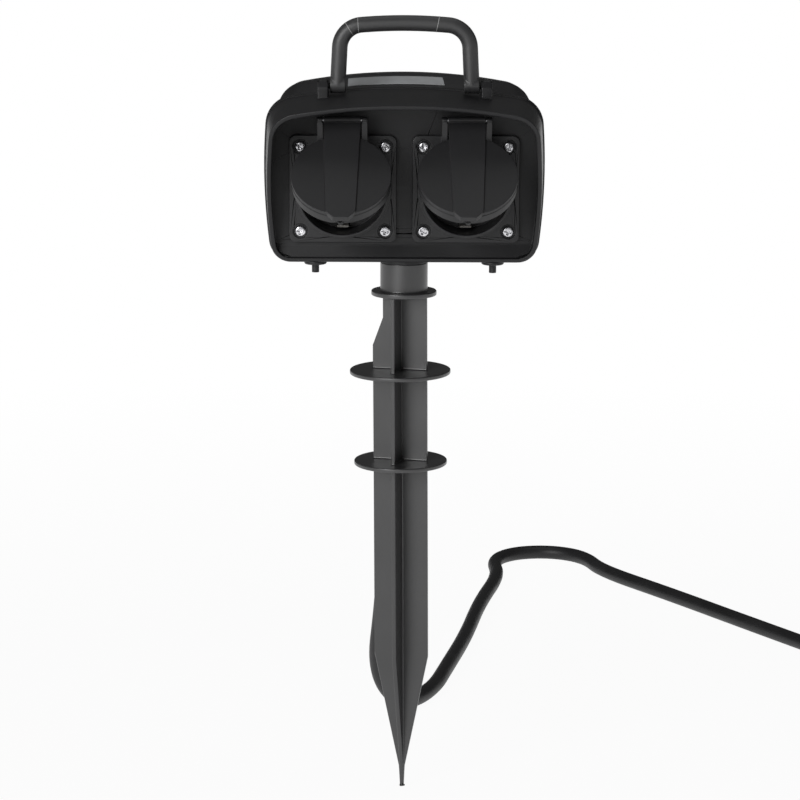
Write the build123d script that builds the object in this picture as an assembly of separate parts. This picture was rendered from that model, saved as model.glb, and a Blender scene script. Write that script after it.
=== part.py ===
from build123d import *
import math
import os

# Garden socket spike, in millimetres. The origin is the spike's tip, +Z points up the spike,
# the sockets face -Y and +X is to the right of someone who faces them.

# Ground spike
blade_reach = 12.8
blade_thickness = 1.8
blade_turn = 15.5
blade_lean = 0.45
neck_reach = 7.9
point_height = 10.0
point_reach = 1.35
tip_reach = 0.7
taper_height = 64.0
shoulder_drop = 13.0
shoulder_run = 13.0
lower_disc_height = 157.9
lower_disc_radius = 21.4
upper_disc_height = 200.3
upper_disc_radius = 23.1
disc_thickness = 1.9
collar_height = 237.0
collar_radius = 14.9
collar_thickness = 2.2
tube_radius = 10.8
tube_length = 13.0
spigot_radius = 7.5
snap_rim = 0.8
snap_height = 2.4

# Spike sleeve in the head
sleeve_clearance = 0.08
sleeve_wall = 1.7
sleeve_length = 25.0
sleeve_foot_radius = 13.2
sleeve_foot_thickness = 2.0
sleeve_flat_depth = 10.2
boss_drop = 1.8
boss_radius = 10.95
notch_clearance = 0.1

# Head shells
head_height = 77.6
head_half_width = 62.8
hood_half_width = 59.6
hood_drop = 4.2
crown_drop = 6.2
edge_inset = 1.6
foot_inset = 3.2
waist_height = 35.9
corner_radius = 13.0
foot_radius = 9.0
shell_wall = 2.2
rim_wall = 1.9
rim_roof_depth = 47.0
rim_floor_depth = 14.4
hood_section_depth = 50.0
panel_depth = 12.0
panel_thickness = 2.5
sill_height = 9.4
sill_round_run = 0.35
sill_round_drop = 2.5
sill_thickness = 2.4
lip_width = 3.2
lip_rise = 0.6
rear_depth = 44.0
rear_knee_depth = 36.0
rear_crest_depth = 14.0
rear_crest_rise = 4.9
rear_mouth_inset = 1.6
rear_crest_inset = 4.4
rear_knee_inset = 5.2
rear_end_inset = 12.0
rear_mouth_drop = 0.8
rear_knee_drop = 1.2
rear_end_drop = 5.0
rear_end_lift = 7.0
housing_gasket_thickness = 0.8
housing_gasket_width = 1.6

# Shell screws, seen from behind
shell_screw_inset = 9.6
shell_screw_low = 11.4
shell_screw_high = 61.9
shell_boss_radius = 3.6
shell_screw_radius = 1.4
shell_screw_head_radius = 2.6
shell_screw_head = 2.2
shell_screw_head_clearance = 0.1
shell_screw_socket_radius = 0.8
shell_screw_seat_depth = 24.0

# Sockets
socket_spread = 27.6
socket_rise = 33.2
flange_size = 48.0
flange_corner = 3.0
flange_thickness = 2.2
flange_gasket_thickness = 0.8
flange_gasket_bore = 22.7
flange_gasket_size = 47.0
screw_pitch = 38.0
screw_recess_radius = 3.3
screw_recess_depth = 0.9
screw_head_radius = 2.6
screw_head_height = 1.5
screw_radius = 1.2
screw_length = 7.0
cross_reach = 1.6
cross_depth = 0.8
cross_half_width = 0.35
pilot_wall = 1.6
collar_foot_radius = 21.8
collar_foot_wall = 1.15
collar_foot_height = 3.3
collar_rim_radius = 20.5
collar_rim_wall = 1.0
collar_ring_height = 8.5
insert_setback = 6.5
insert_gap = 0.1
well_radius = 19.7
well_depth = 17.0
well_floor = 2.6
insert_shoulder_radius = 22.5
panel_hole_radius = 21.0
insert_block_width = 32.0
insert_block_height = 25.0
insert_block_depth = 17.0
pin_pitch = 19.0
pin_hole_radius = 2.6
contact_pocket_radius = 3.4
contact_radius = 3.2
contact_bore = 2.35
contact_length = 15.0
terminal_size = 6.4
terminal_length = 5.0
terminal_gap = 0.3
earth_strap_width = 5.0
earth_strap_thickness = 0.8
earth_prong_reach = 17.4
earth_prong_length = 8.0
earth_slot_clearance = 0.3
prong_bow = 1.5
prong_bow_end = 5.0
prong_bow_peak = 2.0

# Lids and their hinges
hinge_rise = 32.0
hinge_depth = 1.5
lid_drop = 32.0
lid_radius = 21.9
lid_thickness = 2.0
lid_skirt_radius = 21.7
lid_skirt_wall = 0.85
lid_skirt_depth = 4.6
lid_skirt_top = 8.0
lid_band_top = 16.6
lid_band_foot = 13.2
lid_band_rise = 0.8
lid_band_end_drop = 2.9
lid_web_thickness = 1.2
lid_lip_reach = 2.1
lid_lip_width = 6.8
lid_lip_flare = 2.0
lid_nub_radius = 1.1
lid_nub_reach = 0.9
spring_slot_drop = 0.6
lid_rest_angle = 46.0
seal_thickness = 0.6
seal_gap = 0.05
seal_overhang = 0.6
knuckle_radius = 1.6
knuckle_bush = 4.0
spring_room_radius = 1.25
hinge_pin_radius = 0.6
hinge_pin_clearance = 0.04
spring_radius = 1.05
spring_bore = 0.75
spring_end_gap = 0.3
ear_gap = 0.3
ear_thickness = 2.5
ear_eye_radius = 1.5
ear_foot_height = 3.5
ear_elbow_reach = 5.5
ear_elbow_drop = 2.6
ear_half_depth = 1.3
ear_blind_wall = 0.6

# Carry handle
handle_spread = 29.8
handle_bar_radius = 3.5
handle_rise = 28.3
handle_crown = 2.2
handle_lean = 1.3
handle_crown_share = 0.6
handle_bend = 10.5
pivot_depth = 12.0
pivot_rise = 1.7
pivot_radius = 1.5
pivot_clearance = 0.06
pivot_blind_wall = 1.2
pivot_end_gap = 0.3
lug_gap = 0.7
lug_thickness = 4.8
lug_half_depth = 5.5
lug_top = 2.6
lug_round = 1.6

# Drain spouts and label
drain_inset = 22.8
drain_depth = 9.3
drain_disc_radius = 5.1
drain_disc_drop = 1.5
drain_pipe_radius = 1.65
drain_pipe_drop = 5.3
drain_bore = 0.8
drain_disc_round = 0.8
drain_inside_rise = 0.5
label_left = 25.6
label_right = 17.1
label_front = 4.0
label_back = 10.6
label_slant = 0.9
label_thickness = 0.35

# Cord, gland and clamp
cord_diameter = 8.1
cord_length = 1500.0
gland_depth = 30.5
gland_radius = 8.0
gland_clearance = 0.1
gland_nut_radius = 9.4
gland_nut_height = 6.0
gland_inside = 6.0
gland_rim_radius = 10.4
relief_length = 20.7
relief_top_radius = 6.4
relief_foot_radius = 4.9
cord_inside_rise = 21.2
clamp_width = 28.0
clamp_height = 6.0
clamp_thickness = 4.0
clamp_post_x = 10.0
clamp_post_radius = 3.0
clamp_rise = 15.4
clamp_bite = 1.5
wire_radius = 1.0
wire_bend = 3.0
wire_lane = 4.0
earth_lane = 7.5
wire_spacing = 2.35
wire_start_x = 1.1
live_level = -8.0
neutral_level = 8.0
earth_level = 15.0

# Coil and plug
coil_turn_gap = 0.8
coil_layer_gap = 0.6
lead_length = 36.0
plug_radius = 18.5
plug_disc_length = 16.0
plug_taper_length = 18.0
plug_grip_length = 10.8
plug_tail_radius = 7.4
plug_relief_length = 26.0
plug_pin_radius = 2.4
plug_pin_length = 19.0
plug_pin_root = 4.0
plug_pin_root_radius = 2.0
plug_strip_width = 6.0
plug_strip_thickness = 0.8
plug_strip_start = 2.0
plug_strip_proud = 0.2
plug_relief_step = 0.6
plug_pin_round = 1.2

# Levels that follow from the sizes above
shoulder_high = collar_height - shoulder_drop
shoulder_low = shoulder_high - shoulder_run
tube_top = collar_height + tube_length
head_floor = tube_top + boss_drop
head_roof = head_floor + head_height
socket_z = head_floor + socket_rise
flange_back = -panel_depth - flange_gasket_thickness
flange_front = flange_back - flange_thickness
ring_front = flange_front - collar_ring_height
ring_step = flange_front - collar_foot_height
ring_bore = collar_foot_radius - collar_foot_wall
rim_bore = collar_rim_radius - collar_rim_wall
insert_front = ring_front + insert_setback
well_bottom = insert_front + well_depth
insert_back = well_bottom + well_floor
panel_back = -panel_depth + panel_thickness
hinge_y = ring_front - hinge_depth
hinge_z = socket_z + hinge_rise
pivot_z = head_roof + pivot_rise
cord_radius = cord_diameter / 2
clamp_z = head_floor + clamp_rise
clamp_back = gland_depth - clamp_bite
relief_top = head_floor - gland_nut_height
relief_bottom = relief_top - relief_length
cord_inside_top = head_floor + cord_inside_rise
shell_screw_x = head_half_width - shell_screw_inset
drain_x = head_half_width - drain_inset
coil_step = cord_diameter + coil_turn_gap
coil_layer_rise = cord_diameter + coil_layer_gap
sides = {"left": -1, "right": 1}

os.makedirs("parts", exist_ok=True)
parts = {}


def front_plane(x, y, z):
    """A drawing plane that faces the front, with its X to the right and its Y up."""
    return Plane(origin=(x, y, z), x_dir=(1, 0, 0), z_dir=(0, -1, 0))


def front_disc(x, z, radius, y_front, y_back):
    """A round bar along Y."""
    return extrude(front_plane(x, y_back, z) * Circle(radius), amount=y_back - y_front)


def side_bar(radius, x_from, x_to, y, z):
    """A round bar along X."""
    plane = Plane(origin=(x_from, y, z), x_dir=(0, 1, 0), z_dir=(1, 0, 0))
    return extrude(plane * Circle(radius), amount=x_to - x_from)


def upright(x, y, radius, z_low, z_high):
    """A round bar along Z."""
    return extrude(Pos(x, y, z_low) * Circle(radius), amount=z_high - z_low)


def block(x_from, x_to, y_from, y_to, z_from, z_to):
    """A box between two corners."""
    centre = ((x_from + x_to) / 2, (y_from + y_to) / 2, (z_from + z_to) / 2)
    return Pos(*centre) * Box(x_to - x_from, y_to - y_from, z_to - z_from)


def profile_bar(points, x_from, x_to):
    """A bar along X whose outline is given as (y, z) points."""
    plane = Plane(origin=(x_from, 0, 0), x_dir=(0, 1, 0), z_dir=(1, 0, 0))
    return extrude(plane * make_face(Polyline(*points, close=True)), amount=x_to - x_from)


def rounded_plate(x, z, width, corner, y_front, y_back):
    """A square plate with round corners that faces the front."""
    plate = front_plane(x, y_back, z) * RectangleRounded(width, width, corner)
    return extrude(plate, amount=y_back - y_front)


def head_section(y, half_width, roof, floor, grow=0.0):
    """One crowned, round-cornered cross-section of the head, in the plane at depth y."""
    half = half_width + grow
    top = roof + grow
    low = floor - grow
    edge = top - crown_drop
    waist = low + waist_height
    left_top = (edge_inset - half, y, edge)
    right_top = (half - edge_inset, y, edge)
    left_foot = (foot_inset - half, y, low)
    right_foot = (half - foot_inset, y, low)
    outline = Wire(
        [
            ThreePointArc(left_top, (0, y, top), right_top),
            ThreePointArc(right_top, (half, y, waist), right_foot),
            Line(right_foot, left_foot),
            ThreePointArc(left_foot, (-half, y, waist), left_top),
        ]
    )
    face = Face(outline)
    top_corners = face.vertices().sort_by(Axis.Z)[2:]
    face = face.fillet_2d(corner_radius + grow, top_corners)
    feet = [v for v in face.vertices() if v.Z < low + 0.01]
    return face.fillet_2d(foot_radius + grow, feet)


# Ground spike: four blades on one core, two discs, a collar, the tube and the snap spigot
def make_ground_spike():
    outline = [
        (-tip_reach, 0),
        (tip_reach, 0),
        (point_reach, point_height),
        (blade_reach, taper_height),
        (blade_reach, collar_height),
        (-blade_reach, collar_height),
        (-blade_reach, taper_height),
        (-point_reach, point_height),
    ]
    beside_neck = [
        (-blade_reach, shoulder_low),
        (-neck_reach, shoulder_high),
        (-neck_reach, collar_height),
        (-2 * blade_reach, collar_height),
        (-2 * blade_reach, shoulder_low),
    ]
    plate = make_face(Plane.XZ * Polyline(*outline, close=True))
    blade = extrude(plate, amount=blade_thickness / 2, both=True)
    cutback = make_face(Plane.XZ * Polyline(*beside_neck, close=True))
    spike = blade - extrude(cutback, amount=blade_thickness, both=True)
    spike += Rot(0, 0, 90) * blade
    spike = Rot(0, 0, -blade_turn) * spike
    for height, radius in (
        (lower_disc_height, lower_disc_radius),
        (upper_disc_height, upper_disc_radius),
    ):
        spike += upright(0, 0, radius, height - disc_thickness, height)
    spike = Rot(0, -blade_lean, 0) * spike
    around = 2 * upper_disc_radius + 2 * lower_disc_radius
    spike &= block(-around, around, -around, around, 0, collar_height - collar_thickness / 2)
    spike += upright(0, 0, collar_radius, collar_height - collar_thickness, collar_height)
    spike += upright(0, 0, tube_radius, collar_height - collar_thickness, tube_top)
    sleeve_top = tube_top + sleeve_length
    snap_low = sleeve_top + sleeve_clearance
    spike += upright(0, 0, spigot_radius, tube_top, snap_low + snap_height)
    rim = Pos(0, 0, snap_low) * Cone(
        spigot_radius + snap_rim,
        spigot_radius,
        snap_height,
        align=(Align.CENTER, Align.CENTER, Align.MIN),
    )
    return spike + rim


# Spike sleeve: the boss under the head, its foot on the shells' floor, and the bore
def make_spike_sleeve():
    inner_floor = head_floor + shell_wall
    sleeve = upright(0, 0, boss_radius, tube_top, inner_floor + sleeve_foot_thickness)
    foot = upright(0, 0, sleeve_foot_radius, inner_floor, inner_floor + sleeve_foot_thickness)
    sleeve += foot & block(
        -sleeve_foot_radius,
        sleeve_foot_radius,
        -sleeve_flat_depth,
        sleeve_foot_radius,
        head_floor,
        head_roof,
    )
    bore = spigot_radius + sleeve_clearance
    sleeve += upright(0, 0, bore + sleeve_wall, tube_top, tube_top + sleeve_length)
    return sleeve - upright(0, 0, bore, tube_top, tube_top + sleeve_length)


# Front shell: hood, slanted rim, recessed panel, sill, lip, lugs and screw bosses
def make_front_shell():
    back = -housing_gasket_thickness

    def hull(y_from, y_to, grow):
        sections = []
        for y in (y_from, y_to):
            share = -y / hood_section_depth
            half = head_half_width - share * (head_half_width - hood_half_width)
            sections.append(head_section(y, half, head_roof - share * hood_drop, head_floor, grow))
        return loft(sections)

    rim_slope = (rim_roof_depth - rim_floor_depth) / (head_roof - hood_drop - head_floor)
    low = head_floor - 5
    high = head_roof + 10
    behind_rim = profile_bar(
        [
            (-rim_floor_depth - rim_slope * (low - head_floor), low),
            (-rim_floor_depth - rim_slope * (high - head_floor), high),
            (0, high),
            (0, low),
        ],
        -2 * head_half_width,
        2 * head_half_width,
    )
    shell = hull(back, -hood_section_depth, 0) & behind_rim
    lip = hull(back, back - lip_width, lip_rise)
    shell += lip

    sill_top = head_floor + sill_height
    sill_front = head_floor + rim_wall / 2
    round_end = (-panel_depth - sill_round_run, sill_top - sill_round_drop)
    sill_round = TangentArc((-panel_depth, sill_top), round_end, tangent=(0, -1))
    over_sill = Polyline(
        round_end,
        (-rim_floor_depth, sill_front),
        (-2 * rim_roof_depth, sill_front),
        (-2 * rim_roof_depth, high),
        (-panel_depth, high),
        (-panel_depth, sill_top),
    )
    side_plane = Plane(origin=(-2 * head_half_width, 0, 0), x_dir=(0, 1, 0), z_dir=(1, 0, 0))
    above_sill = extrude(side_plane * make_face(sill_round + over_sill), amount=4 * head_half_width)
    shell -= hull(-panel_depth, -hood_section_depth - 2, -rim_wall) & above_sill
    shell -= hull(back, panel_back, -shell_wall)
    under_sill = profile_bar(
        [
            (panel_back, head_floor + shell_wall),
            (panel_back, sill_top - shell_wall),
            (-rim_floor_depth + sill_thickness, head_floor + shell_wall),
        ],
        foot_radius + foot_inset - head_half_width,
        head_half_width - foot_radius - foot_inset,
    )
    shell -= under_sill

    for x in (-shell_screw_x, shell_screw_x):
        for rise in (shell_screw_low, shell_screw_high):
            boss = front_disc(x, head_floor + rise, shell_boss_radius, panel_back - 1, back)
            shell += boss
            shell -= front_disc(x, head_floor + rise, shell_screw_radius, panel_back, back)
    for side in sides.values():
        x = side * socket_spread
        shell -= front_disc(x, socket_z, panel_hole_radius, -panel_depth - 1, panel_back + 1)
        for dx in (-screw_pitch / 2, screw_pitch / 2):
            for dz in (-screw_pitch / 2, screw_pitch / 2):
                pilot_back = flange_front + screw_length
                z = socket_z + dz
                shell += front_disc(x + dx, z, screw_radius + pilot_wall, -panel_depth, pilot_back)
                shell -= front_disc(x + dx, z, screw_radius, -panel_depth, pilot_back)
        shell -= upright(side * drain_x, -drain_depth, drain_pipe_radius, low, sill_top - shell_wall)
    shell -= upright(0, 0, boss_radius + notch_clearance, low, head_floor + shell_wall)

    base = head_roof - crown_drop
    for side in sides.values():
        near = handle_spread + handle_bar_radius + lug_gap
        front = -pivot_depth - lug_half_depth
        rear = -pivot_depth + lug_half_depth
        top = pivot_z + lug_top
        lug_outline = [
            (front, base),
            (front, top - 2 * lug_round),
            (front + 1.4 * lug_round, top),
            (rear - 1.4 * lug_round, top),
            (rear, top - 2 * lug_round),
            (rear, base),
        ]
        lug = profile_bar(lug_outline, near, near + lug_thickness)
        lug = fillet(lug.edges().filter_by(Axis.Y).sort_by(Axis.Z)[-2:], lug_round / 2)
        lug -= hull(0, -hood_section_depth, -shell_wall / 2)
        if side < 0:
            lug = mirror(lug, Plane.YZ)
        shell += lug
        bore_start = near - 1
        bore_end = near + lug_thickness - pivot_blind_wall
        shell -= side_bar(
            pivot_radius + pivot_clearance,
            min(side * bore_start, side * bore_end),
            max(side * bore_start, side * bore_end),
            -pivot_depth,
            pivot_z,
        )
    return shell


def rear_hull(grow):
    """The rear shell's outer form, or its hollow where grow is negative."""
    crest_roof = head_roof + rear_crest_rise
    sections = [
        (0, rear_mouth_inset, head_roof - rear_mouth_drop, head_floor),
        (rear_crest_depth, rear_crest_inset, crest_roof, head_floor),
        (rear_knee_depth + grow, rear_knee_inset, crest_roof - rear_knee_drop, head_floor),
        (rear_depth + grow, rear_end_inset, head_roof - rear_end_drop, head_floor + rear_end_lift),
    ]
    return loft(
        [head_section(y, head_half_width - inset, roof, floor, grow) for y, inset, roof, floor in sections],
        ruled=True,
    )


# Rear shell: the closed back of the head, with screw bosses, clamp posts and the gland's hole
def make_rear_shell():
    hull = rear_hull(0)
    shell = hull - rear_hull(-shell_wall)
    pad_top = head_floor + 2 * shell_wall
    shell += upright(0, gland_depth, gland_rim_radius, head_floor, pad_top)
    for x in (-shell_screw_x, shell_screw_x):
        for rise in (shell_screw_low, shell_screw_high):
            z = head_floor + rise
            shell += front_disc(x, z, shell_boss_radius, 0, rear_depth) & hull
            shell -= front_disc(x, z, shell_screw_radius, -1, rear_depth)
            shell -= front_disc(x, z, shell_screw_head_radius, shell_screw_seat_depth, rear_depth)
    for x in (-clamp_post_x, clamp_post_x):
        post = front_disc(x, clamp_z, clamp_post_radius, clamp_back, rear_depth)
        shell += post & hull
        shell -= front_disc(x, clamp_z, screw_radius, clamp_back, clamp_back + screw_length)
    gland_hole = gland_radius + gland_clearance
    shell -= upright(0, gland_depth, gland_hole, head_floor - 1, pad_top + gland_inside)
    shell -= upright(0, 0, boss_radius + notch_clearance, head_floor - 1, head_floor + shell_wall)
    return shell


# Housing gasket: a flat ring that follows the joint between the shells
def make_housing_gasket():
    half = head_half_width - rear_mouth_inset
    roof = head_roof - rear_mouth_drop
    outer = head_section(0, half, roof, head_floor)
    inner = head_section(0, half, roof, head_floor, -housing_gasket_width)
    ring = extrude(outer - inner, amount=housing_gasket_thickness, dir=(0, -1, 0))
    notch = upright(0, 0, boss_radius + notch_clearance, head_floor - 1, head_floor + shell_wall)
    return ring - notch


# Shell screws: four long screws, driven from behind into the front shell's bosses
def make_shell_screws():
    screws = []
    for x in (-shell_screw_x, shell_screw_x):
        for rise in (shell_screw_low, shell_screw_high):
            z = head_floor + rise
            seat = shell_screw_seat_depth
            head_radius = shell_screw_head_radius - shell_screw_head_clearance
            screw = front_disc(x, z, head_radius, seat, seat + shell_screw_head)
            screw += front_disc(x, z, shell_screw_radius, panel_back + 1, seat)
            socket = front_disc(
                x, z, shell_screw_socket_radius, seat + shell_screw_head / 2, seat + shell_screw_head
            )
            screws.append(screw - socket)
    return Compound(screws)


# Rating label: a thin blank plate on the front slope of the rear shell's roof
def make_rating_label():
    outline = Polyline(
        (-label_left, label_front),
        (label_right + label_slant, label_front),
        (label_right, label_back),
        (-label_left, label_back),
        close=True,
    )
    base = head_roof - crown_drop
    region = extrude(Pos(0, 0, base) * make_face(outline), amount=2 * crown_drop + rear_crest_rise)
    return (rear_hull(label_thickness) & region) - rear_hull(0)


# Socket flange: square plate with four screw recesses, round collar and two hinge ears
def make_socket_flange(side):
    x = side * socket_spread
    flange = rounded_plate(x, socket_z, flange_size, flange_corner, flange_front, flange_back)
    flange += front_disc(x, socket_z, collar_foot_radius, ring_step, flange_back)
    flange += front_disc(x, socket_z, collar_rim_radius, ring_front, flange_back)
    flange -= front_disc(x, socket_z, rim_bore, ring_front, flange_back)
    flange -= front_disc(x, socket_z, ring_bore, insert_front - insert_gap, flange_back)
    for dx, dz in screw_places():
        flange -= front_disc(x + dx, socket_z + dz, screw_radius, flange_front, flange_back)
        flange -= front_disc(
            x + dx, socket_z + dz, screw_recess_radius, flange_front, flange_front + screw_recess_depth
        )
    flange_top = socket_z + flange_size / 2
    arm = [
        (flange_front, flange_top - ear_foot_height),
        (flange_front - ear_elbow_reach, flange_top - ear_elbow_drop),
        (hinge_y - ear_half_depth, hinge_z - ear_half_depth),
        (hinge_y - ear_half_depth, hinge_z + ear_half_depth / 2),
        (hinge_y + ear_half_depth, hinge_z + ear_half_depth / 2),
        (flange_back, flange_top),
        (flange_back, flange_top - ear_foot_height),
    ]
    inner = lid_band_top / 2 + ear_gap
    for direction in sides.values():
        ends = sorted((x + direction * inner, x + direction * (inner + ear_thickness)))
        flange += profile_bar(arm, *ends)
        flange += side_bar(ear_eye_radius, *ends, hinge_y, hinge_z)
        pin_end = inner + ear_thickness - ear_blind_wall
        pin_ends = sorted((x + direction * inner, x + direction * pin_end))
        flange -= side_bar(hinge_pin_radius, *pin_ends, hinge_y, hinge_z)
    return flange


def screw_places():
    """The four screw places of a flange, measured from its centre."""
    half = screw_pitch / 2
    return [(dx, dz) for dx in (-half, half) for dz in (-half, half)]


# Flange gasket: a square rubber sheet behind the flange
def make_flange_gasket(side):
    x = side * socket_spread
    gasket = rounded_plate(x, socket_z, flange_gasket_size, flange_corner, flange_back, -panel_depth)
    gasket -= front_disc(x, socket_z, flange_gasket_bore, flange_back, -panel_depth)
    for dx, dz in screw_places():
        gasket -= front_disc(x + dx, socket_z + dz, screw_radius, flange_back, -panel_depth)
    return gasket


# Flange screws: pan heads with a cross slot
def make_flange_screws(side):
    screws = []
    seat = flange_front + screw_recess_depth
    for dx, dz in screw_places():
        x = side * socket_spread + dx
        z = socket_z + dz
        screw = front_disc(x, z, screw_head_radius, seat - screw_head_height, seat)
        screw = fillet(screw.edges().sort_by(Axis.Y)[0], screw_head_height * 0.45)
        screw += front_disc(x, z, screw_radius, seat, flange_front + screw_length)
        top = seat - screw_head_height
        bottom = top + cross_depth
        wide = cross_reach
        thin = cross_half_width
        cross = block(x - wide, x + wide, top, bottom, z - thin, z + thin)
        cross += block(x - thin, x + thin, top, bottom, z - wide, z + wide)
        screws.append(screw - cross)
    return Compound(screws)


# Socket insert: well, floor with pin holes and clip slots, and the contact block behind it
def make_socket_insert(side):
    x = side * socket_spread
    radius = ring_bore - insert_gap
    insert = front_disc(x, socket_z, radius, insert_front, insert_back)
    insert += front_disc(x, socket_z, insert_shoulder_radius, flange_back, -panel_depth)
    insert -= front_disc(x, socket_z, well_radius, insert_front, well_bottom)
    half_width = insert_block_width / 2
    half_height = insert_block_height / 2
    insert += block(
        x - half_width,
        x + half_width,
        insert_back,
        insert_back + insert_block_depth,
        socket_z - half_height,
        socket_z + half_height,
    )
    for dx in (-pin_pitch / 2, pin_pitch / 2):
        insert -= front_disc(x + dx, socket_z, pin_hole_radius, well_bottom, insert_back)
        block_back = insert_back + insert_block_depth
        insert -= front_disc(x + dx, socket_z, contact_pocket_radius, insert_back, block_back)
    half_slot = earth_strap_width / 2 + earth_slot_clearance
    near = earth_prong_reach - earth_slot_clearance
    far = earth_prong_reach + earth_strap_thickness + earth_slot_clearance
    for up in sides.values():
        low, high = sorted((socket_z + up * near, socket_z + up * far))
        insert -= block(x - half_slot, x + half_slot, well_bottom, insert_back, low, high)
    return insert


# Earth clips: one bent strap round the contact block, with a sprung prong at its top and foot
def make_earth_clips(side):
    x = side * socket_spread
    half = earth_strap_width / 2
    inner = earth_prong_reach
    outer = inner + earth_strap_thickness
    front = well_bottom - earth_prong_length
    behind = insert_back + insert_block_depth
    back = behind + earth_strap_thickness
    clip = block(x - half, x + half, behind, back, socket_z - outer, socket_z + outer)
    for up in sides.values():
        arm = [
            (back, socket_z + up * inner),
            (back, socket_z + up * outer),
            (front + prong_bow_end, socket_z + up * outer),
            (front + prong_bow_peak, socket_z + up * (outer - prong_bow)),
            (front, socket_z + up * outer),
            (front, socket_z + up * inner),
            (front + prong_bow_peak, socket_z + up * (inner - prong_bow)),
            (front + prong_bow_end, socket_z + up * inner),
        ]
        clip += profile_bar(arm, x - half, x + half)
    return clip


# Pin contacts: two sleeves with a square terminal on the back of each
def make_pin_contacts(side):
    contacts = []
    for dx in (-pin_pitch / 2, pin_pitch / 2):
        x = side * socket_spread + dx
        start = insert_back + terminal_gap
        contact = front_disc(x, socket_z, contact_radius, start, start + contact_length)
        end = insert_back + insert_block_depth + terminal_gap
        contact += front_disc(x, socket_z, contact_radius, start, end)
        half = terminal_size / 2
        contact += block(x - half, x + half, end, end + terminal_length, socket_z - half, socket_z + half)
        contact -= front_disc(x, socket_z, contact_bore, start, start + contact_length)
        contacts.append(contact)
    return Compound(contacts)


def turned_lid_piece(piece, side):
    """A piece of a lid, drawn closed, turned to the angle at which the lid stands."""
    axis = Axis((side * socket_spread, hinge_y, hinge_z), (-1, 0, 0))
    return piece.rotate(axis, lid_rest_angle)


# Socket lid: disc, skirt, raised band with a finger lip, and the hinge knuckle
def make_socket_lid(side):
    x = side * socket_spread
    z = hinge_z - lid_drop
    inner = ring_front - seal_thickness
    outer = inner - lid_thickness
    top = outer - lid_band_rise
    lid = front_disc(x, z, lid_radius, outer, inner)
    lid += front_disc(x, z, lid_skirt_radius, inner, inner + lid_skirt_depth)
    lid -= front_disc(x, z, lid_skirt_radius - lid_skirt_wall, inner, inner + lid_skirt_depth)
    lid -= block(
        x - lid_radius,
        x + lid_radius,
        inner,
        inner + lid_skirt_depth,
        z + lid_skirt_top,
        z + lid_radius,
    )
    foot = lid_radius + lid_lip_reach
    band_end = hinge_z - lid_band_end_drop
    band = make_face(
        front_plane(x, inner, z)
        * Polyline(
            (-lid_band_top / 2, band_end - z),
            (-lid_band_foot / 2, lid_lip_flare - lid_radius),
            (-lid_lip_width / 2 - lid_lip_flare, -lid_radius),
            (-lid_lip_width / 2, -foot),
            (lid_lip_width / 2, -foot),
            (lid_lip_width / 2 + lid_lip_flare, -lid_radius),
            (lid_band_foot / 2, lid_lip_flare - lid_radius),
            (lid_band_top / 2, band_end - z),
            close=True,
        )
    )
    lid += extrude(band, amount=inner - top)
    nub_y = inner + lid_skirt_depth - lid_nub_radius
    nub = upright(x, nub_y, lid_nub_radius, z - lid_skirt_radius - lid_nub_reach, z)
    lid += nub - front_disc(x, z, lid_skirt_radius - lid_skirt_wall, outer, inner + lid_skirt_depth)
    half = lid_band_top / 2
    lid += block(x - half, x + half, inner - lid_web_thickness, inner, band_end, hinge_z)
    lid += side_bar(knuckle_radius, x - half, x + half, hinge_y, hinge_z)
    lid -= side_bar(hinge_pin_radius + hinge_pin_clearance, x - half, x + half, hinge_y, hinge_z)
    room = half - knuckle_bush
    lid -= side_bar(spring_room_radius, x - room, x + room, hinge_y, hinge_z)
    slot_low = hinge_z - spring_slot_drop
    lid -= block(
        x - room, x + room, hinge_y, hinge_y + 2 * knuckle_radius, slot_low, hinge_z + knuckle_radius
    )
    return turned_lid_piece(lid, side)


# Lid seal: a flat rubber ring on the lid's inner face
def make_lid_seal(side):
    x = side * socket_spread
    z = hinge_z - lid_drop
    back = ring_front - seal_gap
    outer_radius = lid_skirt_radius - lid_skirt_wall - seal_gap
    seal = front_disc(x, z, outer_radius, ring_front - seal_thickness, back)
    seal -= front_disc(x, z, rim_bore - seal_overhang, ring_front - seal_thickness, back)
    return turned_lid_piece(seal, side)


# Hinge pin: a plain steel pin held in the flange's ears
def make_hinge_pin(side):
    x = side * socket_spread
    half = lid_band_top / 2 + ear_gap + ear_thickness - ear_blind_wall
    return side_bar(hinge_pin_radius, x - half, x + half, hinge_y, hinge_z)


# Lid spring: a close-wound torsion spring, drawn as the sleeve that its turns fill
def make_lid_spring(side):
    x = side * socket_spread
    room = lid_band_top / 2 - knuckle_bush - spring_end_gap
    spring = side_bar(spring_radius, x - room, x + room, hinge_y, hinge_z)
    return spring - side_bar(spring_bore, x - room, x + room, hinge_y, hinge_z)


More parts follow.
